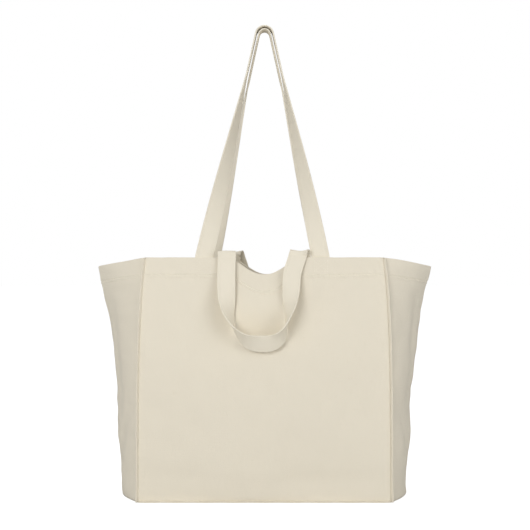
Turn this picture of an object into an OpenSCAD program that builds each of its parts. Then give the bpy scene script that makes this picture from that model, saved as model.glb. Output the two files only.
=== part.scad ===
// Canvas tote bag with side gussets, two long shoulder handles and two short hand handles.
// Millimetres, +Z up, front towards -Y. The origin is the middle of the base, on the ground.

/* [Bag] */
// Width of the front and back panels along the base
panel_w = 346; // [300:1:430]
// Width of the front and back panels along the rim
mouth_w = 331; // [270:1:400]
// Height of the rim above the ground
bag_h = 334; // [270:1:410]
// Cut width of each side gusset, seam to seam
gusset_w = 180; // [150:1:220]
// Thickness of the canvas
cloth = 0.8; // [0.6:0.1:1.2]
// How far the front and back panels belly out half way up
belly = 8; // [2:0.5:14]

/* [Mouth] */
// How far each gusset stands out past the seams at the base
flare_base = 30; // [10:1:40]
// How far each gusset stands out past the seams at the rim
flare_rim = 70; // [40:1:74]
// Depth of the sag in the rim between the short handles
sag_d = 24; // [5:1:32]
// Width of that sag
sag_w = 104; // [70:1:120]
// How far the rim drops at the middle of each gusset
tip_drop = 12; // [0:1:18]

/* [Hem] */
// Depth of the turned hem
hem_d = 27; // [20:1:40]
// Gap between the canvas layers
layer_gap = 0.2; // [0.1:0.05:0.4]

/* [Handles] */
// Width of the straps
strap_w = 25; // [18:1:32]
// Thickness of the straps, canvas folded to four layers
strap_t = 2.4; // [1.6:0.1:3]
// Length of strap sewn to the inside of the hem at each end
sewn_l = 24; // [15:1:26]
// Centre distance between the two ends of a long handle
long_gap = 162; // [140:1:190]
// Height of a long handle's arch above the rim
long_drop = 331; // [250:1:400]
// Bend radius at the top of the inner long handle
arch_r = 8.2; // [6:0.1:14]
// Radial step from the inner long handle to the outer one
nest_step = 4.4; // [3.4:0.1:8]
// Centre distance between the two ends of a short handle
short_gap = 104; // [80:1:112]
// How far a short handle hangs below the rim, to its middle
short_drop = 117; // [90:1:140]

/* [Seams] */
// How far a stitched seam ridge stands out from its corner
ridge_w = 4; // [2:0.5:8]
// Thickness of a seam ridge, both edges pinched together
ridge_t = 1.6; // [1.2:0.1:2.4]
// Width of a row of stitching
stitch_w = 1; // [0.6:0.1:2]

/* [Hidden] */

canvas_c = [0.93, 0.91, 0.83];
lining_c = [0.88, 0.85, 0.76];
strap_c = [0.95, 0.92, 0.84];
thread_c = [0.98, 0.97, 0.92];

edge_gap = 0.9;          // from a panel's edge to its seam line
hem_top = 0.6;           // from the rim down to the top of the turned layer
long_end_top = 1.5;      // the sewn ends of the long handles stop this far above the rim
long_start = 4.2;        // a long handle starts this far above the rim
short_end_top = 3.6;       // the sewn ends of the short handles stop this far above the rim
short_lift = 1.2;        // extra height of a short handle where it crosses the rim
end_depth = cloth * 2 + layer_gap * 3; // a sewn end's nearer face, in from the panel's face
end_in = end_depth + strap_t / 2;      // its middle
twist_end = 0.78;        // share of its height at which a long handle has turned edge-on
long_shift = 3;          // the front long handle sits this far to the left, the back to the right
back_shift = 4;          // the short handle and sag at the back sit this far to the right
stitch_t = 0.3;
stitch_lift = 0.2;       // clear of the cloth's flat facets

// ---- The bag's surface ------------------------------------------------------------------
// t runs from 0 at the base to 1 at the rim. u runs -1 to 1 across a panel or a gusset.

function half_front(t) = panel_w / 2 - (panel_w - mouth_w) / 2 * pow(t, 4);
function flare(t) = flare_base + (flare_rim - flare_base) * (0.45 * t + 0.55 * pow(t, 4));
function half_depth(t) = 0.98 * sqrt(pow(gusset_w / 2, 2) - pow(flare(t), 2));
function bulge(t) = belly * (0.7 * sin(180 * min(t, 1)) + 0.3 * min(1, t * 8));
function smooth(a) = let (b = max(0, min(1, a))) b * b * (3 - 2 * b);
function sag(x) = abs(x) < sag_w / 2 ? sag_d * pow(cos(180 * x / sag_w), 1.5) : 0;

// A point of the front panel's face
function front_point(u, t, shift = 0) =
    let (x = u * half_front(t))
    [x, -half_depth(t) - bulge(t) * (1 - u * u),
     bag_h * t - sag(x - shift) * smooth((t - 0.5) / 0.42)];

// A point of the right gusset's face, u = -1 at the front seam
function gusset_point(u, t) =
    [half_front(t) + flare(t) * (1 - pow(abs(u), 2 - 0.5 * t * t)),
     half_depth(t) * u,
     bag_h * t - tip_drop * pow(t, 3) * (1 - pow(abs(u), 1.5))];

// The front panel's face in y, at x and at a height measured down from the rim
function face_y(x, down = 0) =
    let (t = 1 - down / bag_h) -half_depth(t) - bulge(t) * (1 - pow(x / half_front(t), 2));

function unit(v) = v / norm(v);
function span(a, b, n) = [for (i = [0:n]) a + (b - a) * i / n];

// ---- Solids swept from points -----------------------------------------------------------

// A closed solid between two grids of points with the same rows and columns
module between(outer, inner) {
    rows = len(outer);
    cols = len(outer[0]);
    far = rows * cols;
    points = [for (g = [outer, inner]) for (row = g) for (p = row) p];
    function at(i, j) = i * cols + j;
    skin = [for (i = [0:rows - 2]) for (j = [0:cols - 2])
        each [[at(i, j), at(i, j + 1), at(i + 1, j + 1)], [at(i, j), at(i + 1, j + 1), at(i + 1, j)]]];
    back = [for (f = skin) [f[0] + far, f[2] + far, f[1] + far]];
    ring = [each [for (j = [0:cols - 1]) at(0, j)],
            each [for (i = [1:rows - 1]) at(i, cols - 1)],
            each [for (j = [cols - 2:-1:0]) at(rows - 1, j)],
            each [for (i = [rows - 2:-1:1]) at(i, 0)]];
    n = len(ring);
    rim = [for (k = [0:n - 1]) let (a = ring[k], b = ring[(k + 1) % n])
        each [[a, a + far, b + far], [a, b + far, b]]];
    polyhedron(points, concat(skin, back, rim));
}

// A sheet of the surface f(u, t), from depth d0 to depth d1 behind its face
module sheet(f, us, ts, d0, d1) {
    e = 0.001;
    function out(u, t) = unit(cross(f(u + e, t) - f(u - e, t), f(u, t + e) - f(u, t - e)));
    function grid(d) = [for (t = ts) [for (u = us) f(u, t) - out(u, t) * d]];
    between(grid(d1), grid(d0));
}

// A flat strap along the points c, its width along the directions w
module ribbon(c, w, width, thick) {
    n = len(c);
    function along(i) = unit(c[min(i + 1, n - 1)] - c[max(i - 1, 0)]);
    function across(i) = let (t = along(i)) unit(w[i] - t * (w[i] * t));
    function side(i, a, b) =
        c[i] + across(i) * a * width / 2 + cross(along(i), across(i)) * b * thick / 2;
    function layer(b) = [for (i = [0:n - 1]) [side(i, -1, b), side(i, 1, b)]];
    between(layer(-1), layer(1));
}

// ---- Cloth pieces -----------------------------------------------------------------------

// Where the columns and rows of a panel lie, closest together where the rim sags
function panel_us() =
    let (e = 1 - edge_gap / (mouth_w / 2), s = (sag_w / 2 + 2 * back_shift) / (mouth_w / 2))
    concat(span(-e, -s, 8), [for (u = span(-s, s, 26)) if (abs(u) < s - 0.001) u], span(s, e, 8));
function hem_ts() = span(1 - hem_d / bag_h, 1 - hem_top / bag_h, 4);
function body_ts(n) = concat(span(0.001, 1 - hem_d / bag_h, n), [for (i = [1:4]) hem_ts()[i]], [0.9995]);

module panel(shift) {
    sheet(function(u, t) front_point(u, t, shift), panel_us(), body_ts(14), 0, cloth);
}

function gusset_us() = let (e = 1 - edge_gap / half_depth(1)) span(-e, e, 16);

module gusset() {
    sheet(function(u, t) gusset_point(u, t), gusset_us(), body_ts(12), 0, cloth);
}

// The turned layer of the hem, inside its panel or gusset
module hem(f, us) {
    inner = [for (i = [1:len(us) - 2]) us[i]];
    sheet(f, inner, hem_ts(), cloth + layer_gap, cloth * 2 + layer_gap);
}

module panel_hem(shift) { hem(function(u, t) front_point(u, t, shift), panel_us()); }
module gusset_hem() { hem(function(u, t) gusset_point(u, t), gusset_us()); }

module base_panel() {
    inset = cloth + layer_gap;
    front = [for (u = span(-1, 1, 24)) front_point(u, 0) + [-u * inset, inset, 0]];
    right = [for (u = span(-1, 1, 12)) gusset_point(u, 0) - [inset, inset * u, 0]];
    half = concat([for (p = front) [p[0], p[1]]], [for (i = [1:11]) [right[i][0], right[i][1]]]);
    color(canvas_c) linear_extrude(cloth) polygon(concat(half, -half));
}

// A pinched ridge up the corner between the front panel and the right gusset
module corner_ridge() {
    out = unit([0.62, -1, 0]);
    corner = [for (t = span(0.004, 0.996, 20)) front_point(1, t)];
    ribbon([for (p = corner) p + out * (ridge_w / 2 + 0.3)],
           [for (p = corner) out], ridge_w, ridge_t);
}

// A pinched ridge along the front edge of the base, flat on the ground
module base_ridge() {
    edge = [for (u = span(-0.985, 0.985, 24)) front_point(u, 0)];
    ribbon([for (p = edge) p + [0, -ridge_w / 2 - 0.3, ridge_t / 2]],
           [for (p = edge) [0, -1, 0]], ridge_w, ridge_t);
}

// ---- Handles ----------------------------------------------------------------------------

// The angle from upright of a leg that starts at a and meets an arch of radius r
function leg_angle(a, h, r) = atan2(a, h - r) - asin(r / norm([a, h - r]));

// One long handle at the front: h is the height of its arch above the rim
module long_handle(h, r, shift) {
    a = long_gap / 2;
    y0 = face_y(a) + end_in;
    tip = leg_angle(a, h, r);
    top = h - r + r * sin(tip);
    leg = [for (z = span(long_start, top, 14)) [-a + (a - r * cos(tip)) * z / top, z]];
    arch = [for (b = span(180 - tip, tip, 12)) [r * cos(b), h - r + r * sin(b)]];
    flat = concat(leg, [for (i = [1:11]) arch[i]], [for (i = [14:-1:0]) [-leg[i][0], leg[i][1]]]);
    function fade(z) = 1 - z / h;
    c = [for (p = flat) [p[0] + shift * pow(fade(p[1]), 2), y0 * fade(p[1]), bag_h + p[1]]];
    function turn(z) = 90 * pow(min(1, z / h / twist_end), 0.85);
    w = [for (p = flat) [-sign(p[0]) * cos(turn(p[1])), sin(turn(p[1])), 0]];
    ribbon(c, w, strap_w, strap_t);
}

// A short handle's hang: x as a share of half its width, distance out from the panel's face,
// height as a share of its drop below the rim, and the direction of the strap's width.
HANG = [
    [-1.00, 3.6, 0.040, [1, 0, 0]],
    [-1.01, 4.5, -0.18, [1, 0, 0]],
    [-1.00, 6.5, -0.43, [0.95, 0.25, 0]],
    [-0.94, 11, -0.66, [0.55, 0.80, -0.10]],
    [-0.77, 16, -0.84, [0.10, 0.90, -0.40]],
    [-0.46, 17, -0.965, [-0.05, 0.66, -0.75]],
    [-0.08, 14, -1.00, [0, 0.42, -0.90]],
    [0.24, 15, -0.98, [0.05, 0.50, -0.86]],
    [0.47, 17, -0.89, [0.15, 0.75, -0.62]],
    [0.60, 16, -0.74, [-0.15, 0.95, -0.20]],
    [0.67, 12, -0.57, [-0.62, 0.76, 0]],
    [0.70, 7.5, -0.38, [-0.92, 0.32, 0]],
    [0.74, 5, -0.18, [-1, 0.06, 0]],
    [0.90, 3.8, 0.035, [-1, 0, 0]]
];

// A smooth curve through the rows of a table, k steps a row
function mixed(rows, col, i, s) =
    let (n = len(rows), a = rows[max(i - 1, 0)][col], b = rows[i][col],
         c = rows[min(i + 1, n - 1)][col], d = rows[min(i + 2, n - 1)][col])
    0.5 * (2 * b + (c - a) * s + (2 * a - 5 * b + 4 * c - d) * s * s + (3 * b - a - 3 * c + d) * s * s * s);
function curve(rows, col, k) =
    [for (i = [0:len(rows) - 2]) for (j = [0:k - 1]) mixed(rows, col, i, j / k), rows[len(rows) - 1][col]];

module short_handle(shift) {
    xs = curve(HANG, 0, 3);
    outs = curve(HANG, 1, 3);
    hs = curve(HANG, 2, 3);
    c = [for (i = [0:len(xs) - 1])
        let (x = xs[i] * short_gap / 2, h = hs[i] * short_drop + (hs[i] > 0 ? short_lift : 0))
        [x + shift, face_y(x, max(0, -h)) - outs[i], bag_h + h]];
    ribbon(c, curve(HANG, 3, 3), strap_w, strap_t);
}

// The two sewn ends of a handle, flat against the inside of the hem
module ends(gap, shift, top, sag_shift) {
    for (side = [-1, 1]) {
        x = side * gap / 2 + shift;
        w = strap_w / 2;
        sheet(function(u, t) front_point(u, t, sag_shift), span((x - w) / half_front(1), (x + w) / half_front(1), 6),
              span(1 - sewn_l / bag_h, 1 + top / bag_h, 5), end_depth, end_depth + strap_t);
    }
}

// ---- Stitching --------------------------------------------------------------------------

module row(f, us, ts) { sheet(f, us, ts, -stitch_t - stitch_lift, -stitch_lift); }

module hem_row(f, us) {
    t = 1 - (hem_d - 3) / bag_h;
    half = stitch_w / 2 / bag_h;
    row(f, [for (i = [1:len(us) - 2]) us[i]], [t - half, t + half]);
}

module front_rows(shift) { hem_row(function(u, t) front_point(u, t, shift), panel_us()); }

// The two upright rows of a stitched box, over a strap's sewn end
module stitch_box(x, sag_shift) {
    half = stitch_w / 2 / half_front(1);
    for (side = [-1, 1]) {
        u = (x + side * (strap_w / 2 - 3)) / half_front(1);
        row(function(u, t) front_point(u, t, sag_shift), [u - half, u + half],
            span(1 - (hem_d - 6) / bag_h, 1 - 6 / bag_h, 4));
    }
}

module front_boxes(sag_shift) {
    for (x = [-long_gap / 2, long_gap / 2]) stitch_box(x - long_shift, sag_shift);
}

// ---- The nodes --------------------------------------------------------------------------

module turned() { rotate([0, 0, 180]) children(); }
module mirrored() { mirror([1, 0, 0]) children(); }

module front_panel() { color(canvas_c) panel(0); }
module back_panel() { color(canvas_c) turned() panel(-back_shift); }
module left_gusset() { color(canvas_c) turned() gusset(); }
module right_gusset() { color(canvas_c) gusset(); }
module front_hem() { color(lining_c) panel_hem(0); }
module back_hem() { color(lining_c) turned() panel_hem(-back_shift); }
module left_hem() { color(lining_c) turned() gusset_hem(); }
module right_hem() { color(lining_c) gusset_hem(); }
module front_left_seam() { color(canvas_c) mirrored() corner_ridge(); }
module front_right_seam() { color(canvas_c) corner_ridge(); }
module back_left_seam() { color(canvas_c) turned() corner_ridge(); }
module back_right_seam() { color(canvas_c) turned() mirrored() corner_ridge(); }
module front_base_seam() { color(canvas_c) base_ridge(); }
module back_base_seam() { color(canvas_c) turned() base_ridge(); }
module long_handle_front() { color(strap_c) long_handle(long_drop, arch_r + nest_step, -long_shift); }
module long_handle_back() {
    color(strap_c) turned() long_handle(long_drop - nest_step, arch_r, -long_shift);
}
module short_handle_front() { color(strap_c) short_handle(0); }
module short_handle_back() { color(strap_c) turned() short_handle(-back_shift); }
module long_ends_front() { color(strap_c) ends(long_gap, -long_shift, long_end_top, 0); }
module long_ends_back() { color(strap_c) turned() ends(long_gap, -long_shift, long_end_top, -back_shift); }
module short_ends_front() { color(strap_c) ends(short_gap, 0, short_end_top, 0); }
module short_ends_back() { color(strap_c) turned() ends(short_gap, -back_shift, short_end_top, -back_shift); }
module hem_stitching() {
    color(thread_c) {
        front_rows(0);
        turned() front_rows(-back_shift);
        for (a = [0, 180]) rotate([0, 0, a])
            hem_row(function(u, t) gusset_point(u, t), gusset_us());
    }
}
module handle_stitching() {
    color(thread_c) {
        front_boxes(0);
        turned() front_boxes(-back_shift);
    }
}

front_panel();
back_panel();
left_gusset();
right_gusset();
base_panel();
front_hem();
back_hem();
left_hem();
right_hem();
front_left_seam();
front_right_seam();
back_left_seam();
back_right_seam();
front_base_seam();
back_base_seam();
long_handle_front();
long_handle_back();
short_handle_front();
short_handle_back();
long_ends_front();
long_ends_back();
short_ends_front();
short_ends_back();
hem_stitching();
handle_stitching();
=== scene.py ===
"""Looks for a canvas tote bag: sewn canvas panels, pinched seams, folded straps and stitching."""

import math

import bpy
import numpy as np
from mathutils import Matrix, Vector


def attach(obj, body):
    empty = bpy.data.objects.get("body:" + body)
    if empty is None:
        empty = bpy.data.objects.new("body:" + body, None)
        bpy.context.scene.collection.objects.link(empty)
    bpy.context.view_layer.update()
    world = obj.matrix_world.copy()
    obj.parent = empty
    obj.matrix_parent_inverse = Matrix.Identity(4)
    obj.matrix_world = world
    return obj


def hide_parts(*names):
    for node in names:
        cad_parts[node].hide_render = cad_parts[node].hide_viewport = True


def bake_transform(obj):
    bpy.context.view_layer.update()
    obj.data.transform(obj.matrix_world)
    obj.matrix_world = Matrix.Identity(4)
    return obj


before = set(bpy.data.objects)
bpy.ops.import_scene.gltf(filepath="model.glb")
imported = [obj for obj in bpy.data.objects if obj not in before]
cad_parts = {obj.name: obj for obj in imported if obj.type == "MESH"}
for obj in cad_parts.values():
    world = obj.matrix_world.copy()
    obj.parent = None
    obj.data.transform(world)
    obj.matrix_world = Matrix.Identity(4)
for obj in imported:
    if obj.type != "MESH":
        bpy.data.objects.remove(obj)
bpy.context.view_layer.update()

bl_info = {
    "name": "Canvas tote bag",
    "version": (1, 0, 0),
    "blender": (4, 5, 0),
    "location": "View3D > Sidebar > Tote bag",
    "description": "Builds a canvas tote bag with gussets and two pairs of handles",
    "category": "Object",
}

MM = 0.001
RIM = 0.334  # height of the rim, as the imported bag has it


# ---- Sizes and colours ------------------------------------------------------------------


class TOTE_PG_sizes(bpy.types.PropertyGroup):
    """Sizes of the cloth pieces, in metres"""

    cloth: bpy.props.FloatProperty(
        name="Canvas", description="Thickness of the canvas", default=0.8 * MM, unit="LENGTH")
    hem: bpy.props.FloatProperty(
        name="Hem", description="Depth of the turned hem", default=27 * MM, unit="LENGTH")
    strap_width: bpy.props.FloatProperty(
        name="Strap width", description="Width of the handles", default=25 * MM, unit="LENGTH")
    strap_thick: bpy.props.FloatProperty(
        name="Strap thickness", description="Thickness of the handles", default=2.4 * MM,
        unit="LENGTH")
    stitch: bpy.props.FloatProperty(
        name="Stitch", description="Length from one stitch to the next", default=3.4 * MM,
        unit="LENGTH")
    crease: bpy.props.FloatProperty(
        name="Creases", description="Strength of the soft creases, 1 as made", default=1.0,
        min=0, max=2)


class TOTE_PG_colours(bpy.types.PropertyGroup):
    """Colours of the cloth and thread"""

    canvas: bpy.props.FloatVectorProperty(
        name="Canvas", description="Natural cotton canvas", subtype="COLOR", size=3,
        default=(0.785, 0.725, 0.60))
    strap: bpy.props.FloatVectorProperty(
        name="Straps", description="Folded canvas straps", subtype="COLOR", size=3,
        default=(0.82, 0.762, 0.635))
    thread: bpy.props.FloatVectorProperty(
        name="Thread", description="Cotton sewing thread", subtype="COLOR", size=3,
        default=(0.86, 0.81, 0.69))


# ---- The bag's surface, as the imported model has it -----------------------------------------
# t runs from 0 at the base to 1 at the rim. u runs -1 to 1 across a panel or a gusset.

PANEL_W, MOUTH_W, GUSSET_W = 0.346, 0.331, 0.180
FLARE_BASE, FLARE_RIM, BELLY = 0.030, 0.070, 0.008
SAG_D, SAG_W, TIP_DROP = 0.024, 0.104, 0.012
LONG_GAP, LONG_DROP, ARCH_R, NEST_STEP = 0.162, 0.331, 0.0082, 0.0044
SHORT_GAP, SHORT_DROP = 0.104, 0.117
SEWN_L, LONG_SHIFT, BACK_SHIFT = 0.024, 0.003, 0.004
TWIST_END = 0.78
END_IN = 0.0034  # the middle of a strap's sewn end, in from the panel's face
SHORT_LIFT = 1.2 * MM  # extra height of a short handle where it crosses the rim
CREST, CREST_RISE = 4 * MM, 3.2 * MM  # how a short handle clears the rim on its way out
HEM_ROW = 3 * MM  # from the hem's edge to its row of stitches
STRAP_ROW = 3 * MM  # from a strap's edge to its row of stitches
EDGE_IN = 0.5 * MM  # from the line of a seam to the cloth's edge
TOP_IN = 0.8 * MM  # from the rim down to where the cloth starts to fold over


def smooth(a):
    b = np.clip(a, 0, 1)
    return b * b * (3 - 2 * b)


def half_front(t):
    return PANEL_W / 2 - (PANEL_W - MOUTH_W) / 2 * t**4


def flare(t):
    return FLARE_BASE + (FLARE_RIM - FLARE_BASE) * (0.45 * t + 0.55 * t**4)


def half_depth(t):
    return 0.98 * np.sqrt((GUSSET_W / 2) ** 2 - flare(t) ** 2)


def bulge(t):
    return BELLY * (0.7 * np.sin(np.pi * np.minimum(t, 1)) + 0.3 * np.minimum(1, t * 8))


def sag(x):
    c = np.cos(np.clip(np.pi * x / SAG_W, -np.pi / 2, np.pi / 2))
    return SAG_D * np.maximum(c, 0) ** 1.5


def front_surface(u, t, shift=0.0):
    x = u * half_front(t)
    y = -half_depth(t) - bulge(t) * (1 - u * u)
    z = RIM * t - sag(x - shift) * smooth((t - 0.5) / 0.42)
    return np.stack([x, y, z], -1)


def gusset_surface(u, t):
    a = np.abs(u)
    x = half_front(t) + flare(t) * (1 - a ** (2 - 0.5 * t * t))
    z = RIM * t - TIP_DROP * t**3 * (1 - a**1.5)
    return np.stack([x, half_depth(t) * u, z], -1)


def face_y(x, down=0.0):
    """The front panel's face, at x and at a height measured down from the rim."""
    t = 1 - down / RIM
    return -half_depth(t) - bulge(t) * (1 - (x / half_front(t)) ** 2)


def ripple(a, b, seed, wavelength, waves=9):
    """A smooth seeded unevenness, about -1 to 1, over the cloth's own plane."""
    rng = np.random.default_rng(seed)
    total = np.zeros(np.broadcast(a, b).shape)
    for _ in range(waves):
        turn, phase = rng.uniform(0, 2 * np.pi, 2)
        k = 2 * np.pi / (wavelength * rng.uniform(0.7, 1.5))
        total = total + np.sin(k * (a * np.cos(turn) + b * np.sin(turn)) + phase)
    return total / math.sqrt(waves)


def bump(a, b, at, spread, lean=0.0):
    """A round hill of height 1 at a place on the cloth, longer one way, leaning by an angle."""
    c, s = math.cos(lean), math.sin(lean)
    p = (a - at[0]) * c + (b - at[1]) * s
    q = -(a - at[0]) * s + (b - at[1]) * c
    return np.exp(-((p / spread[0]) ** 2) - (q / spread[1]) ** 2)


# ---- Relief of the cloth --------------------------------------------------------------------


def hem_relief(along, down, hem):
    """The hem's double thickness, the groove of its stitching and the puckers beside it."""
    row = hem - HEM_ROW
    step = 0.7 * MM * smooth((hem + 1.2 * MM - down) / (2.4 * MM))
    groove = -0.9 * MM * np.exp(-(((down - row) / (1.1 * MM)) ** 2))
    pucker = np.sin(2 * np.pi * along / (7.3 * MM) + 1.5 * np.sin(along * 61))
    near = np.exp(-(((down - row) / (6.5 * MM)) ** 2))
    return step + groove + 0.22 * MM * pucker * near


# height in mm, place across and up, spread both ways, lean
FRONT_CREASES = (
    # hollows that hang from the handles' ends, and the fuller cloth between them
    (-3.6, (-0.060, 0.262), (0.022, 0.050), 0.35),
    (-4.2, (0.078, 0.268), (0.026, 0.046), -0.45),
    (2.6, (0.0, 0.285), (0.030, 0.022), 0.0),
    (-2.4, (0.005, 0.245), (0.034, 0.034), 0.0),
    (1.8, (0.118, 0.30), (0.012, 0.05), -0.5),
    (-1.6, (-0.118, 0.27), (0.010, 0.06), 0.25),
    # soft dents along the base, where the panel turns under
    (-1.6, (0.09, 0.03), (0.08, 0.014), 0.06),
    (-1.2, (-0.11, 0.036), (0.06, 0.014), -0.08),
)
GUSSET_CREASES = (
    # a soft upright fold down the middle, from the rim, and a hollow each side
    (2.2, (0, 0.30), (0.006, 0.10), 0.0),
    (-3.0, (-0.030, 0.22), (0.010, 0.085), -0.1),
    (-2.6, (0.032, 0.20), (0.011, 0.09), 0.12),
    # slanting folds that run to the lower corners
    (-2.4, (-0.045, 0.07), (0.009, 0.045), 0.45),
    (-2.4, (0.045, 0.08), (0.009, 0.045), -0.5),
)


def relief_of(a, b, edge, seed, sizes, broad, fine, creases, pucker):
    """Relief at a across and b up the cloth, edge being the distance to the nearer seam."""
    r = hem_relief(a, RIM - b, sizes.hem)
    r = r + sizes.crease * broad[0] * MM * ripple(a, b, seed, broad[1])
    r = r + sizes.crease * 0.35 * MM * ripple(a, b, seed + 1, fine, 14)
    for height, at, spread, lean in creases:
        r = r + sizes.crease * height * MM * bump(a, b, at, spread, lean)
    length, wander, rate, reach = pucker
    pull = np.sin(2 * np.pi * b / (length * MM) + wander * np.sin(b * rate + seed))
    r = r + sizes.crease * 0.30 * MM * pull * np.exp(-((edge / (reach * MM)) ** 2))
    # the edges stay on their seams
    hold = smooth(edge / (10 * MM)) * smooth(b / (8 * MM))
    return r * (0.15 + 0.85 * hold)


def front_relief(u, t, seed, sizes):
    edge = (1 - np.abs(u)) * half_front(t)
    return relief_of(u * half_front(t), RIM * t, edge, seed, sizes, (1.1, 0.16), 0.035,
                     FRONT_CREASES, (11, 2.2, 37, 9))


def gusset_relief(u, t, seed, sizes):
    edge = (1 - np.abs(u)) * half_depth(t)
    return relief_of(u * half_depth(t) * 1.1, RIM * t, edge, seed, sizes, (1.3, 0.11), 0.030,
                     GUSSET_CREASES, (12, 2.0, 41, 8))


def outward(f, u, t):
    """Unit normals of a surface f(u, t), by small steps."""
    e = 1e-4
    n = np.cross(f(u + e, t) - f(u - e, t), f(u, t + e) - f(u, t - e))
    return n / np.maximum(np.linalg.norm(n, axis=-1, keepdims=True), 1e-12)


def grid_normals(grid):
    """Unit normals of a grid of points, rows up and columns across."""
    n = np.cross(np.gradient(grid, axis=1), np.gradient(grid, axis=0))
    return n / np.maximum(np.linalg.norm(n, axis=-1, keepdims=True), 1e-12)


# ---- Meshes ---------------------------------------------------------------------------------


def new_piece(name, points, faces, uv, material):
    """A mesh piece at the origin, with uv given for each point, in metres along the cloth."""
    mesh = bpy.data.meshes.new(name)
    mesh.from_pydata([tuple(p) for p in points], [], faces)
    layer = mesh.uv_layers.new(name="UVMap")
    at = np.zeros(len(mesh.loops), np.int32)
    mesh.loops.foreach_get("vertex_index", at)
    layer.data.foreach_set("uv", np.asarray(uv, float)[at].astype(np.float32).ravel())
    mesh.validate()
    mesh.shade_smooth()
    mesh.materials.append(material)
    piece = bpy.data.objects.new(name, mesh)
    bpy.context.scene.collection.objects.link(piece)
    return piece


def ring_of(rows, cols):
    """The edge of a grid, as point numbers, going round once."""
    def at(i, j):
        return i * cols + j

    return ([at(0, j) for j in range(cols)] + [at(i, cols - 1) for i in range(1, rows)]
            + [at(rows - 1, j) for j in range(cols - 2, -1, -1)]
            + [at(i, 0) for i in range(rows - 2, 0, -1)])


def cloth_piece(name, grid, uv, thick, material):
    """A closed sheet of cloth round a grid of points, thick/2 to each side of it."""
    rows, cols = grid.shape[:2]
    n = grid_normals(grid)
    far = rows * cols
    outer, inner = grid + n * thick / 2, grid - n * thick / 2
    points = np.concatenate([outer.reshape(-1, 3), inner.reshape(-1, 3)])
    faces = []
    for i in range(rows - 1):
        for j in range(cols - 1):
            a, b = i * cols + j, i * cols + j + 1
            c, d = b + cols, a + cols
            faces.append((a, b, c, d))
            faces.append((a + far, d + far, c + far, b + far))
    ring = ring_of(rows, cols)
    for a, b in zip(ring, ring[1:] + ring[:1]):
        faces.append((a, a + far, b + far, b))
    return new_piece(name, points, faces, np.concatenate([uv.reshape(-1, 2)] * 2), material)


def swept_strap(name, c, w, width, thick, material, groove=True):
    """A folded strap along the points c: a soft-edged section with a dent along each stitch row."""
    c, w = np.asarray(c, float), np.asarray(w, float)
    _, w, n = strap_frame(c, w)
    around = np.linspace(0, 2 * np.pi, 40, endpoint=False)
    sx = np.sign(np.cos(around)) * np.abs(np.cos(around)) ** 0.55
    sy = np.sign(np.sin(around)) * np.abs(np.sin(around)) ** 0.28
    side = sx * width / 2
    dent = 0.28 * MM * np.exp(-(((width / 2 - np.abs(side) - STRAP_ROW) / (1.0 * MM)) ** 2))
    up = sy * (thick / 2 - (dent if groove else 0))
    rings = c[:, None] + w[:, None] * side[None, :, None] + n[:, None] * up[None, :, None]
    rows, cols = rings.shape[:2]
    along = np.concatenate([[0], np.cumsum(np.linalg.norm(np.diff(c, axis=0), axis=1))])
    uv = np.stack(np.broadcast_arrays(side[None] + np.sign(up)[None] * width, along[:, None]), -1)
    faces = []
    for i in range(rows - 1):
        for j in range(cols):
            a, b = i * cols + j, i * cols + (j + 1) % cols
            faces.append((a, b, b + cols, a + cols))
    faces.append(tuple(range(cols - 1, -1, -1)))
    faces.append(tuple((rows - 1) * cols + j for j in range(cols)))
    return new_piece(name, rings.reshape(-1, 3), faces, uv.reshape(-1, 2), material)


def strap_frame(c, w):
    """Unit directions along, across and out of a strap at each of its points."""
    t = np.gradient(c, axis=0)
    t /= np.linalg.norm(t, axis=1, keepdims=True)
    w = w - t * (w * t).sum(1, keepdims=True)
    w /= np.linalg.norm(w, axis=1, keepdims=True)
    return t, w, np.cross(t, w)


def evenly(points, step, *others):
    """Points along a line, step apart, with other per-point values carried along."""
    points = np.asarray(points, float)
    along = np.concatenate([[0], np.cumsum(np.linalg.norm(np.diff(points, axis=0), axis=1))])
    at = np.linspace(0, along[-1], max(2, int(round(along[-1] / step)) + 1))

    def carried(values):
        values = np.asarray(values, float)
        return np.stack([np.interp(at, along, values[:, k]) for k in range(values.shape[1])], 1)
    return [carried(v) for v in (points, *others)]


def turned(p):
    """Points of the front and right pieces, turned to the back and left."""
    return np.asarray(p) * np.array([-1.0, -1.0, 1.0])


def mirrored(p):
    """Points of the right corner, as the left corner has them."""
    return np.asarray(p) * np.array([-1.0, 1.0, 1.0])


# ---- Stitches -------------------------------------------------------------------------------


def one_stitch():
    """The points and faces of one short length of thread, 1 long, 1 across, along x."""
    bpy.ops.object.select_all(action="DESELECT")
    bpy.ops.mesh.primitive_uv_sphere_add(segments=6, ring_count=5, radius=0.5)
    stitch = bpy.context.object
    bpy.ops.object.mode_set(mode="EDIT")
    bpy.ops.transform.rotate(value=math.pi / 2, orient_axis="Y", center_override=(0, 0, 0))
    bpy.ops.object.mode_set(mode="OBJECT")
    points = np.array([v.co for v in stitch.data.vertices], float)
    faces = [tuple(f.vertices) for f in stitch.data.polygons]
    mesh = stitch.data
    bpy.data.objects.remove(stitch)
    bpy.data.meshes.remove(mesh)
    points[:, 1:] *= 1 - 0.3 * np.abs(points[:, :1]) * 2
    return points, faces


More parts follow.
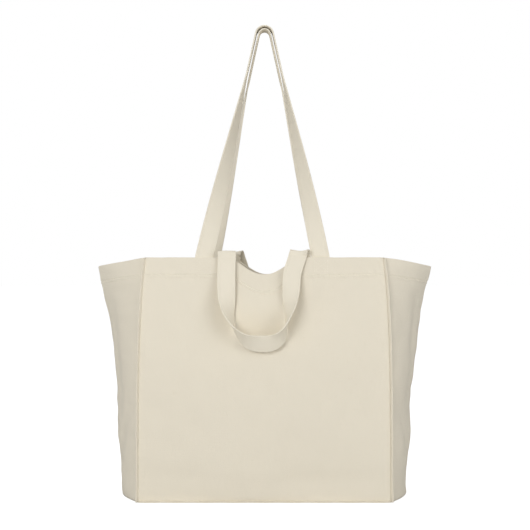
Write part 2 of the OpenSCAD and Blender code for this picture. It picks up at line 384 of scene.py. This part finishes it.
def stitch_rows(name, rows, material, length=2.5 * MM, across=0.75 * MM):
    """One piece with a stitch at every point of rows, each (points, directions, normals)."""
    base, base_faces = one_stitch()
    all_points, all_faces, uv = [], [], []
    for points, directions, normals in rows:
        for p, d, n in zip(points, directions, normals):
            d = d / np.linalg.norm(d)
            s = np.cross(n, d)
            s /= max(np.linalg.norm(s), 1e-9)
            o = np.cross(d, s)
            start = len(all_points) * len(base)
            all_points.append(p + base[:, :1] * d * length + base[:, 1:2] * s * across
                              + base[:, 2:] * o * across * 0.7)
            all_faces += [tuple(k + start for k in f) for f in base_faces]
            uv.append(base[:, :2] * length)
    return new_piece(name, np.concatenate(all_points), all_faces, np.concatenate(uv), material)


# ---- Materials ------------------------------------------------------------------------------


def cloth_material(name, colour, pitch=0.8 * MM, slub=0.16, warm=(0.97, 0.93, 0.82)):
    """Plain-weave cotton on the piece's own uv, which is in metres along the cloth."""
    m = bpy.data.materials.new(name)
    m.use_nodes = True
    nodes, links = m.node_tree.nodes, m.node_tree.links
    nodes.clear()

    def add(kind, x, y, **settings):
        node = nodes.new(kind)
        node.location = (x, y)
        for key, value in settings.items():
            setattr(node, key, value)
        return node

    def maths(kind, x, y, a, b):
        node = add("ShaderNodeMath", x, y, operation=kind)
        for k, v in enumerate((a, b)):
            if isinstance(v, (int, float)):
                node.inputs[k].default_value = v
            else:
                links.new(v, node.inputs[k])
        return node.outputs[0]

    def yarns(y, along):
        turn = maths("MULTIPLY", -1150, y, along, math.pi)
        return maths("ABSOLUTE", -900, y, maths("SINE", -1050, y, turn, 0), 0)

    def scaled(x, y, sx, sy):
        node = add("ShaderNodeMapping", x, y)
        node.inputs["Scale"].default_value = (sx, sy, 1)
        links.new(place.outputs["UV"], node.inputs["Vector"])
        return node.outputs[0]

    def noise(x, y, vector, detail, rough=0.5):
        node = add("ShaderNodeTexNoise", x, y)
        node.inputs["Scale"].default_value = 1
        node.inputs["Detail"].default_value = detail
        node.inputs["Roughness"].default_value = rough
        links.new(vector, node.inputs["Vector"])
        return node.outputs["Fac"]

    place = add("ShaderNodeTexCoord", -1600, 0)
    # yarns: round bands both ways, one over the other in turn
    weave = scaled(-1400, 300, 1 / pitch, 1 / pitch)
    split = add("ShaderNodeSeparateXYZ", -1200, 300)
    links.new(weave, split.inputs[0])
    warp, weft = (yarns(y, split.outputs[k]) for k, y in enumerate((400, 200)))
    check = add("ShaderNodeTexChecker", -1050, 50)
    check.inputs["Scale"].default_value = 1
    check.inputs["Color1"].default_value = (1, 1, 1, 1)
    check.inputs["Color2"].default_value = (0, 0, 0, 1)
    links.new(weave, check.inputs["Vector"])
    over = add("ShaderNodeMix", -750, 300, data_type="FLOAT")
    links.new(check.outputs["Fac"], over.inputs[0])
    links.new(warp, over.inputs[2])
    links.new(weft, over.inputs[3])
    # slubs: thick and thin places along single yarns
    slub_a = noise(-1200, -150, scaled(-1400, -150, 620, 45), 3, 0.6)
    slub_b = noise(-1200, -350, scaled(-1400, -350, 45, 620), 3, 0.6)
    cloud = noise(-1200, -550, scaled(-1400, -550, 9, 9), 4)
    fleck = noise(-1200, -750, scaled(-1400, -750, 420, 420), 2, 0.7)
    grain = maths("ADD", -950, -250, slub_a, slub_b)
    shade = maths("ADD", -800, -300, maths("MULTIPLY", -900, -350, grain, slub * 2),
                  maths("MULTIPLY", -900, -550, cloud, slub))
    shade = maths("ADD", -650, -350, shade, maths("MULTIPLY", -800, -650, fleck, slub * 0.6))
    ramp = add("ShaderNodeMapRange", -500, -350)
    ramp.inputs["From Min"].default_value = slub * 1.25
    ramp.inputs["From Max"].default_value = slub * 2.35
    links.new(shade, ramp.inputs["Value"])
    tint = add("ShaderNodeMix", -300, 0, data_type="RGBA")
    tint.inputs[6].default_value = (*[c * w * 0.90 for c, w in zip(colour, warm)], 1)
    tint.inputs[7].default_value = (*[min(1, c * 1.07) for c in colour], 1)
    links.new(ramp.outputs[0], tint.inputs[0])
    # height: yarns, slubs and a slight unevenness
    height = maths("ADD", -500, 250, maths("MULTIPLY", -600, 250, over.outputs[0], 0.16 * MM),
                   maths("MULTIPLY", -600, 100, grain, 0.35 * MM))
    height = maths("ADD", -400, 200, height, maths("MULTIPLY", -500, 50, cloud, 1.2 * MM))
    relief = add("ShaderNodeBump", -200, -200)
    relief.inputs["Strength"].default_value = 0.55
    relief.inputs["Distance"].default_value = 1.0
    links.new(height, relief.inputs["Height"])
    shader = add("ShaderNodeBsdfPrincipled", 0, 0)
    shader.inputs["Roughness"].default_value = 0.92
    shader.inputs["Specular IOR Level"].default_value = 0.18
    shader.inputs["Sheen Weight"].default_value = 0.12
    shader.inputs["Sheen Roughness"].default_value = 0.6
    links.new(tint.outputs[2], shader.inputs["Base Color"])
    links.new(relief.outputs[0], shader.inputs["Normal"])
    out = add("ShaderNodeOutputMaterial", 300, 0)
    links.new(shader.outputs[0], out.inputs["Surface"])
    return m


def material(name):
    """The named finish, made the first time that it is asked for."""
    if name in bpy.data.materials:
        return bpy.data.materials[name]
    c = bpy.context.scene.tote_colours
    if name == "natural_canvas":
        return cloth_material(name, c.canvas)
    if name == "strap_canvas":
        return cloth_material(name, c.strap, pitch=0.7 * MM, slub=0.11)
    return cloth_material("cotton_thread", c.thread, pitch=0.35 * MM, slub=0.05)


# ---- Cloth pieces ---------------------------------------------------------------------------


def folded_grid(f, us, n_rows, hem):
    """A panel's middle surface: up its outside, over the rim and down inside as the turned hem."""
    r = 0.95 * MM
    ts = np.concatenate([np.linspace(0.0015, 1 - hem * 1.35 / RIM, n_rows),
                         np.linspace(1 - hem * 1.3 / RIM, 1 - TOP_IN / RIM, 44)])
    u, t = np.meshgrid(us, ts)
    outside = f(u, t)
    n = outward(f, us, np.full_like(us, 1 - TOP_IN / RIM))
    top = outside[-1]
    fold = [top - n * r * (1 - math.cos(a)) + np.array([0, 0, r * math.sin(a) * 0.9])
            for a in np.linspace(0.35, math.pi - 0.2, 6)]
    down = np.linspace(0.9 * MM, hem, 12)
    inside = []
    for d in down:
        lean = (f(us, np.full_like(us, 1 - d / RIM)) - top) * np.array([1, 1, 0])
        drop = np.array([0, 0, 1]) * (d - 0.6 * MM)
        inside.append(top - n * 2 * r - drop - n * 0.25 * MM * math.sin(9 * d / hem) + lean)
    grid = np.concatenate([outside, np.array(fold), np.array(inside)])
    steps = np.linalg.norm(np.diff(grid[:, len(us) // 2], axis=0), axis=1)
    length = np.concatenate([[0], np.cumsum(steps)])
    across = us * np.abs(grid[:, -1] - grid[:, 0]).max() / 2
    uv = np.stack(np.broadcast_arrays(across[None, :], length[:, None]), -1)
    return grid, uv


def hung_cloth(name, nodes, surface, relief, us, n_rows, place):
    """A panel or gusset with its hem, riding on the bag."""
    s = bpy.context.scene.tote_sizes

    def f(u, t):
        out = relief(u, t) - s.cloth / 2
        return surface(u, t) + outward(surface, u, t) * out[..., None]

    grid, uv = folded_grid(f, us, n_rows, s.hem)
    piece = cloth_piece(name, place(grid), uv, s.cloth, material("natural_canvas"))
    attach(piece, "bag")
    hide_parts(*nodes)


def make_panel(name, nodes, seed, shift, place):
    s = bpy.context.scene.tote_sizes
    e = 1 - EDGE_IN / (MOUTH_W / 2)
    hung_cloth(name, nodes, lambda u, t: front_surface(u, t, shift),
               lambda u, t: front_relief(u, t, seed, s),
               np.linspace(-e, e, 190), 110, place)


def make_gusset(name, nodes, seed, place):
    s = bpy.context.scene.tote_sizes
    e = 1 - EDGE_IN / (GUSSET_W / 2)
    hung_cloth(name, nodes, gusset_surface, lambda u, t: gusset_relief(u, t, seed, s),
               np.linspace(-e, e, 100), 100, place)


class TOTE_OT_panels(bpy.types.Operator):
    """Make the front and back panels, each with its turned hem"""

    bl_idname = "tote.panels"
    bl_label = "Front and back panels"

    def execute(self, context):
        make_panel("front_cloth", ["front_panel", "front_hem"], 3, 0.0, np.asarray)
        make_panel("back_cloth", ["back_panel", "back_hem"], 17, -BACK_SHIFT, turned)
        return {"FINISHED"}


class TOTE_OT_gussets(bpy.types.Operator):
    """Make the two side gussets, each with its turned hem"""

    bl_idname = "tote.gussets"
    bl_label = "Side gussets"

    def execute(self, context):
        make_gusset("right_gusset_cloth", ["right_gusset", "right_hem"], 29, np.asarray)
        make_gusset("left_gusset_cloth", ["left_gusset", "left_hem"], 41, turned)
        return {"FINISHED"}


class TOTE_OT_base(bpy.types.Operator):
    """Make the flat base, a little uneven inside"""

    bl_idname = "tote.base"
    bl_label = "Base"

    def execute(self, context):
        s = context.scene.tote_sizes
        us = np.linspace(-1, 1, 90)
        vs = np.linspace(-1, 1, 46)
        u, v = np.meshgrid(us, vs)
        end = half_front(0.0) + flare(0.0) * (1 - v**2) - 1.3 * MM
        side = half_depth(0.0) + bulge(0.0) * (1 - u * u) - 1.3 * MM
        x, y = u * end, v * side
        edge = smooth((1 - np.maximum(np.abs(u), np.abs(v))) / 0.2)
        z = s.cloth / 2 + edge * 0.6 * MM * (1 + ripple(x, y, 7, 0.07)) * s.crease
        grid = np.stack([x, y, z], -1)
        piece = cloth_piece("base_cloth", grid, np.stack([x, y], -1), s.cloth,
                            material("natural_canvas"))
        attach(piece, "bag")
        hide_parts("base_panel")
        return {"FINISHED"}


# ---- Seams ----------------------------------------------------------------------------------


def corner_points(count):
    """Points up the corner between the front panel and the right gusset, and the way out."""
    t = np.linspace(0.002, 0.994, count)
    p = front_surface(np.ones(count), t)
    out = np.array([0.62, -1.0, 0.0])
    out /= np.linalg.norm(out)
    wave = 0.35 * MM * np.sin(p[:, 2] * 210) + 0.3 * MM * np.sin(p[:, 2] * 87 + 1)
    sideways = np.array([1.0, 0.62, 0.0]) / math.hypot(1, 0.62)
    return p + sideways * wave[:, None] * 0.4, np.repeat(out[None], count, 0), sideways


def make_ridge(node, c, w, width):
    """A pinched seam along the points c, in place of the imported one."""
    ridge = swept_strap(node + "_cloth", c, w, width, 1.7 * MM, material("natural_canvas"),
                        groove=False)
    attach(ridge, "bag")
    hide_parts(node)


def make_corner(node, place, seed):
    """A pinched seam ridge up one corner, and its row of stitches."""
    s = bpy.context.scene.tote_sizes
    p, out, sideways = corner_points(240)
    stand = (3.9 + 0.25 * np.sin(p[:, 2] * 130 + seed)) * MM
    middle = p + out * (stand[:, None] / 2 - 0.5 * MM)
    make_ridge(node, place(middle), place(out), 4.4 * MM)
    line, = evenly(p + out * 1.3 * MM, s.stitch)
    d = np.gradient(line, axis=0)
    side = np.repeat(sideways[None], len(line), 0)
    return [(place(line + side * k * 0.95 * MM), place(d), place(side * k)) for k in (-1, 1)]


class TOTE_OT_seams(bpy.types.Operator):
    """Make the pinched seams up the corners and along the base, with their stitching"""

    bl_idname = "tote.seams"
    bl_label = "Seams"

    def execute(self, context):
        s = context.scene.tote_sizes
        rows = []
        rows += make_corner("front_right_seam", np.asarray, 1)
        rows += make_corner("front_left_seam", mirrored, 2)
        rows += make_corner("back_left_seam", turned, 3)
        rows += make_corner("back_right_seam", lambda p: turned(mirrored(p)), 4)
        for node, place, seed in (("front_base_seam", np.asarray, 5),
                                  ("back_base_seam", turned, 6)):
            u = np.linspace(-0.992, 0.992, 240)
            edge = front_surface(u, np.zeros(240))
            wave = 0.3 * MM * np.sin(edge[:, :1] * 160 + seed)
            middle = edge + np.array([0, -1.6 * MM, 0.95 * MM]) + wave * np.array([0, 1, 0.4])
            middle[:, 2] = np.maximum(middle[:, 2], 0.9 * MM)
            out = np.repeat([[0.0, -1.0, 0.0]], 240, 0)
            make_ridge(node, place(middle), place(out), 4.2 * MM)
            line, = evenly(middle + np.array([0, 0.4 * MM, 0.9 * MM]), s.stitch)
            up = np.repeat([[0.0, 0.0, 1.0]], len(line), 0)
            rows.append((place(line), place(np.gradient(line, axis=0)), place(up)))
        piece = stitch_rows("seam_stitching", rows, material("cotton_thread"))
        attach(piece, "bag")
        return {"FINISHED"}


# ---- Handles --------------------------------------------------------------------------------

HANG = [  # x share, out from the panel in mm, height share of the drop, direction of the width
    (-1.00, 3.6, 0.040, (1, 0, 0)),
    (-1.01, 4.5, -0.18, (1, 0, 0)),
    (-1.00, 6.5, -0.43, (0.95, 0.25, 0)),
    (-0.94, 11, -0.66, (0.55, 0.80, -0.10)),
    (-0.77, 16, -0.84, (0.10, 0.90, -0.40)),
    (-0.46, 17, -0.965, (-0.05, 0.66, -0.75)),
    (-0.08, 14, -1.00, (0, 0.42, -0.90)),
    (0.24, 15, -0.98, (0.05, 0.50, -0.86)),
    (0.47, 17, -0.89, (0.15, 0.75, -0.62)),
    (0.60, 16, -0.74, (-0.15, 0.95, -0.20)),
    (0.67, 12, -0.57, (-0.62, 0.76, 0)),
    (0.70, 7.5, -0.38, (-0.92, 0.32, 0)),
    (0.74, 5, -0.18, (-1, 0.06, 0)),
    (0.90, 3.8, 0.035, (-1, 0, 0)),
]


def spline(rows, steps):
    """A smooth curve through the rows of an array."""
    rows = np.asarray(rows, float)
    padded = np.concatenate([rows[:1], rows, rows[-1:]])
    out = []
    for i in range(len(rows) - 1):
        a, b, c, d = padded[i:i + 4]
        for k in range(steps):
            s = k / steps
            out.append(0.5 * (2 * b + (c - a) * s + (2 * a - 5 * b + 4 * c - d) * s * s
                              + (3 * b - a - 3 * c + d) * s**3))
    return np.array(out + [rows[-1]])


def short_path(shift):
    """A short handle's middle line and width directions, from inside the hem and back."""
    table = spline([(r[0], r[1], r[2], *r[3]) for r in HANG], 10)
    x = table[:, 0] * SHORT_GAP / 2
    h = table[:, 2] * SHORT_DROP + np.where(table[:, 2] > 0, SHORT_LIFT, 0)
    y = face_y(x, np.maximum(0, -h)) - table[:, 1] * MM
    free = np.stack([x + shift, y, RIM + h], 1)
    w = table[:, 3:]

    def end(side, first):
        """Up the inside of the hem and over the rim, to the first free point."""
        x0 = side * SHORT_GAP / 2 + shift
        zs = np.linspace(-SEWN_L, CREST, 12)
        up = np.array([[x0, face_y(x0 - shift, max(0.0, -z)) + END_IN, RIM + z] for z in zs])
        y_in, y_out, z0 = up[-1][1], first[1], first[2]
        over = []
        for a in np.linspace(0.25, math.pi - 0.12, 9):
            k = (1 - math.cos(a)) / 2
            over.append([x0 + (first[0] - x0) * k, y_in + (y_out - y_in) * k,
                         RIM + CREST + (z0 - RIM - CREST) * k + CREST_RISE * math.sin(a)])
        return np.concatenate([up, np.array(over)])

    left, right = end(-1, free[0]), end(1, free[-1])
    c = np.concatenate([left, free, right[::-1]])
    w = np.concatenate([np.repeat([w[0]], len(left), 0), w, np.repeat([w[-1]], len(right), 0)])
    return evenly(c, 2.0 * MM, w)


def long_path(h, r, shift):
    """A long handle's middle line and width directions, from inside the hem and back."""
    a = LONG_GAP / 2
    y0 = face_y(a) + END_IN
    tip = math.atan2(a, h - r) - math.asin(r / math.hypot(a, h - r))
    top = h - r + r * math.sin(tip)
    zs = np.linspace(0, top, 90)
    leg = [(-a + (a - r * math.cos(tip)) * z / top, z) for z in zs]
    arch = [(r * math.cos(b), h - r + r * math.sin(b))
            for b in np.linspace(math.pi - tip, tip, 20)[1:-1]]
    flat = np.array(leg + arch + [(-x, z) for x, z in leg[::-1]])
    fade = 1 - flat[:, 1] / h
    c = np.stack([flat[:, 0] + shift * fade**2, y0 * fade, RIM + flat[:, 1]], 1)
    turn = np.pi / 2 * np.minimum(1, flat[:, 1] / h / TWIST_END) ** 0.85
    w = np.stack([-np.sign(flat[:, 0]) * np.cos(turn), np.sin(turn), 0 * turn], 1)
    ends = []
    for side in (-1, 1):
        x0 = side * a + shift
        zs = np.linspace(-SEWN_L, -1.0 * MM, 10)
        ends.append(np.array([[x0, face_y(x0, -z) + END_IN, RIM + z] for z in zs]))
    c = np.concatenate([ends[0], c, ends[1][::-1]])
    w = np.concatenate([np.repeat([[1.0, 0, 0]], 10, 0), w, np.repeat([[-1.0, 0, 0]], 10, 0)])
    return evenly(c, 3.0 * MM, w)


def strap_stitches(c, w, place, skip=8):
    """Two rows of edge stitching on both faces of a strap, without the ends' first stitches."""
    s = bpy.context.scene.tote_sizes
    c, w = evenly(c, s.stitch, w)
    t, w, n = strap_frame(c, w)
    keep = slice(skip, len(c) - skip)
    rows = []
    for side in (-1, 1):
        for face in (-1, 1):
            p = (c + w * side * (s.strap_width / 2 - STRAP_ROW)
                 + n * face * (s.strap_thick / 2 - 0.15 * MM))
            rows.append((place(p[keep]), place(t[keep]), place(n[keep] * face)))
    return rows


def make_handle(body, kind, side, path, place, start, end):
    """A handle from sewn end to sewn end, with its edge stitching."""
    s = bpy.context.scene.tote_sizes
    c, w = path
    strap = swept_strap(body + "_strap", place(c), place(w), s.strap_width, s.strap_thick,
                        material("strap_canvas"))
    thread = stitch_rows(body + "_edge_stitching", strap_stitches(c, w, place),
                         material("cotton_thread"), 2.4 * MM, 0.55 * MM)
    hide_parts(f"{kind}_handle_{side}", f"{kind}_ends_{side}")
    for piece in (strap, thread):
        tuple(place(start))
        tuple(place(end))
        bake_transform(piece)


class TOTE_OT_long_handles(bpy.types.Operator):
    """Make the two shoulder handles, one arch inside the other"""

    bl_idname = "tote.long_handles"
    bl_label = "Long handles"

    def execute(self, context):
        y = face_y(LONG_GAP / 2) + END_IN
        start, end = (0, y, RIM - 1 * MM), (0, y, RIM + 7 * MM)
        outer = long_path(LONG_DROP, ARCH_R + NEST_STEP, -LONG_SHIFT)
        inner = long_path(LONG_DROP - NEST_STEP, ARCH_R, -LONG_SHIFT)
        make_handle("long_front", "long", "front", outer, np.asarray, start, end)
        make_handle("long_back", "long", "back", inner, turned, start, end)
        return {"FINISHED"}


class TOTE_OT_short_handles(bpy.types.Operator):
    """Make the two hand handles, hanging over the rim"""

    bl_idname = "tote.short_handles"
    bl_label = "Short handles"

    def execute(self, context):
        rim = np.array([0, face_y(SHORT_GAP / 2), RIM])
        slope = np.array([0, -1, 0.22])  # out of the cloth, which leans in towards the rim
        slope /= slope @ slope
        start, end = rim + slope * 1.3 * MM, rim + slope * 4.2 * MM
        front, back = short_path(0.0), short_path(-BACK_SHIFT)
        make_handle("short_front", "short", "front", front, np.asarray, start, end)
        make_handle("short_back", "short", "back", back, turned, start, end)
        return {"FINISHED"}


# ---- Stitching ------------------------------------------------------------------------------


def hem_line(surface, relief, us, down, lift=0.1 * MM):
    """A row of stitches across a panel or gusset, down from the rim."""
    s = bpy.context.scene.tote_sizes
    t = np.full_like(us, 1 - down / RIM)
    n = outward(surface, us, t)
    p = surface(us, t) + n * (relief(us, t) + lift)[..., None]
    p, n = evenly(p, s.stitch, n)
    return p, np.gradient(p, axis=0), n


def end_box(surface, relief, x, half_w, low, high):
    """A stitched rectangle with a cross in it, over a strap's sewn end."""
    s = bpy.context.scene.tote_sizes
    corners = [(x - half_w, low), (x + half_w, low), (x + half_w, high), (x - half_w, high)]
    lines = [(corners[k], corners[(k + 1) % 4]) for k in range(4)]
    lines += [(corners[0], corners[2]), (corners[1], corners[3])]
    rows = []
    for a, b in lines:
        xs, downs = np.linspace(a[0], b[0], 12), np.linspace(a[1], b[1], 12)
        t = 1 - downs / RIM
        u = xs / half_front(t)
        n = outward(surface, u, t)
        p = surface(u, t) + n * (relief(u, t) + 0.05 * MM)[..., None]
        p, n = evenly(p, s.stitch, n)
        rows.append((p, np.gradient(p, axis=0), n))
    return rows


class TOTE_OT_stitching(bpy.types.Operator):
    """Stitch the hem all round, and the handles' ends through it"""

    bl_idname = "tote.stitching"
    bl_label = "Stitching"

    def execute(self, context):
        s = context.scene.tote_sizes
        thread = material("cotton_thread")
        hem_rows, box_rows = [], []
        for seed, shift, place in ((3, 0.0, np.asarray), (17, -BACK_SHIFT, turned)):
            def surface(u, t, shift=shift):
                return front_surface(u, t, shift)

            def relief(u, t, seed=seed):
                return front_relief(u, t, seed, s)

            p, d, n = hem_line(surface, relief, np.linspace(-0.985, 0.985, 200), s.hem - HEM_ROW)
            hem_rows.append((place(p), place(d), place(n)))
            for x in (-LONG_GAP / 2 - LONG_SHIFT, LONG_GAP / 2 - LONG_SHIFT):
                for p, d, n in end_box(surface, relief, x, 9 * MM, 5 * MM, 19 * MM):
                    box_rows.append((place(p), place(d), place(n)))
        for seed, place in ((29, np.asarray), (41, turned)):
            def relief(u, t, seed=seed):
                return gusset_relief(u, t, seed, s)

            us = np.linspace(-0.96, 0.96, 120)
            p, d, n = hem_line(gusset_surface, relief, us, s.hem - HEM_ROW)
            hem_rows.append((place(p), place(d), place(n)))
        hem = stitch_rows("hem_thread", hem_rows, thread)
        boxes = stitch_rows("handle_thread", box_rows, thread, 2.4 * MM, 0.6 * MM)
        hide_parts("hem_stitching")
        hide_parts("handle_stitching")
        for piece in (hem, boxes):
            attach(piece, "bag")
        return {"FINISHED"}


# ---- Stage ----------------------------------------------------------------------------------


def area_light(name, at, aim, size, power):
    """A round soft light, turned to face a place."""
    data = bpy.data.lights.new(name, "AREA")
    data.shape = "DISK"
    data.size = size
    data.energy = power
    lamp = bpy.data.objects.new(name, data)
    lamp.location = at
    lamp.rotation_euler = (Vector(aim) - Vector(at)).to_track_quat("-Z", "Y").to_euler()
    bpy.context.scene.collection.objects.link(lamp)


def white_floor():
    """A pale floor that shows white where it is lit and keeps the bag's shadow."""
    m = bpy.data.materials.new("white_floor")
    m.use_nodes = True
    nodes, links = m.node_tree.nodes, m.node_tree.links
    nodes.clear()
    ray = nodes.new("ShaderNodeLightPath")
    glow = nodes.new("ShaderNodeEmission")
    glow.inputs["Color"].default_value = (1, 1, 1, 1)
    strength = nodes.new("ShaderNodeMath")
    strength.operation = "MULTIPLY"
    strength.inputs[1].default_value = 0.80
    links.new(ray.outputs["Is Camera Ray"], strength.inputs[0])
    links.new(strength.outputs[0], glow.inputs["Strength"])
    matt = nodes.new("ShaderNodeBsdfDiffuse")
    matt.inputs["Color"].default_value = (0.60, 0.60, 0.60, 1)
    both = nodes.new("ShaderNodeAddShader")
    links.new(glow.outputs[0], both.inputs[0])
    links.new(matt.outputs[0], both.inputs[1])
    out = nodes.new("ShaderNodeOutputMaterial")
    links.new(both.outputs[0], out.inputs["Surface"])
    return m


class TOTE_OT_stage(bpy.types.Operator):
    """Set up the floor, the soft light and the camera"""

    bl_idname = "tote.stage"
    bl_label = "Stage"

    def execute(self, context):
        scene = context.scene
        bpy.ops.object.select_all(action="DESELECT")
        bpy.ops.mesh.primitive_plane_add(size=30, location=(0, 0, -0.0005))
        floor = context.object
        floor.name = "floor"
        floor.data.materials.append(white_floor())
        world = bpy.data.worlds.new("studio")
        scene.world = world
        world.use_nodes = True
        nodes, links = world.node_tree.nodes, world.node_tree.links
        nodes.clear()
        ray = nodes.new("ShaderNodeLightPath")
        soft = nodes.new("ShaderNodeBackground")
        soft.inputs["Color"].default_value = (1, 1, 1, 1)
        soft.inputs["Strength"].default_value = 0.42
        seen = nodes.new("ShaderNodeBackground")
        seen.inputs["Color"].default_value = (1, 1, 1, 1)
        seen.inputs["Strength"].default_value = 1.0
        mix = nodes.new("ShaderNodeMixShader")
        links.new(ray.outputs["Is Camera Ray"], mix.inputs[0])
        links.new(soft.outputs[0], mix.inputs[1])
        links.new(seen.outputs[0], mix.inputs[2])
        out = nodes.new("ShaderNodeOutputWorld")
        links.new(mix.outputs[0], out.inputs["Surface"])
        area_light("key", (-1.1, -2.3, 0.95), (0, 0, 0.22), 1.3, 27)
        area_light("fill", (1.6, -1.6, 0.5), (0, 0, 0.22), 1.4, 13)
        area_light("top", (0.1, 0.5, 2.2), (0, 0, 0.3), 1.6, 7)
        data = bpy.data.cameras.new("camera")
        data.sensor_width = 36
        data.lens = 75.65
        camera = bpy.data.objects.new("camera", data)
        camera.location = (0.0007, -1.6, 0.3235)
        camera.rotation_euler = (math.pi / 2, 0, 0)
        scene.collection.objects.link(camera)
        scene.camera = camera
        scene.view_settings.view_transform = "Standard"
        return {"FINISHED"}


class TOTE_PT_panel(bpy.types.Panel):
    """The bag's sizes, colours and pieces"""

    bl_idname = "TOTE_PT_panel"
    bl_label = "Tote bag"
    bl_space_type = "VIEW_3D"
    bl_region_type = "UI"
    bl_category = "Tote bag"

    def draw(self, context):
        layout = self.layout
        for group in (context.scene.tote_sizes, context.scene.tote_colours):
            for name in group.__annotations__:
                layout.prop(group, name)
        for step in STEPS:
            layout.operator(step.bl_idname)


STEPS = (TOTE_OT_stage, TOTE_OT_panels, TOTE_OT_gussets, TOTE_OT_base, TOTE_OT_seams,
         TOTE_OT_long_handles, TOTE_OT_short_handles, TOTE_OT_stitching)
CLASSES = (TOTE_PG_sizes, TOTE_PG_colours, *STEPS, TOTE_PT_panel)


def register():
    for c in CLASSES:
        bpy.utils.register_class(c)
    bpy.types.Scene.tote_sizes = bpy.props.PointerProperty(type=TOTE_PG_sizes)
    bpy.types.Scene.tote_colours = bpy.props.PointerProperty(type=TOTE_PG_colours)


def unregister():
    del bpy.types.Scene.tote_colours
    del bpy.types.Scene.tote_sizes
    for c in reversed(CLASSES):
        bpy.utils.unregister_class(c)


def main():
    register()
    for step in STEPS:
        group, name = step.bl_idname.split(".")
        getattr(getattr(bpy.ops, group), name)()


if __name__ == "__main__":
    main()
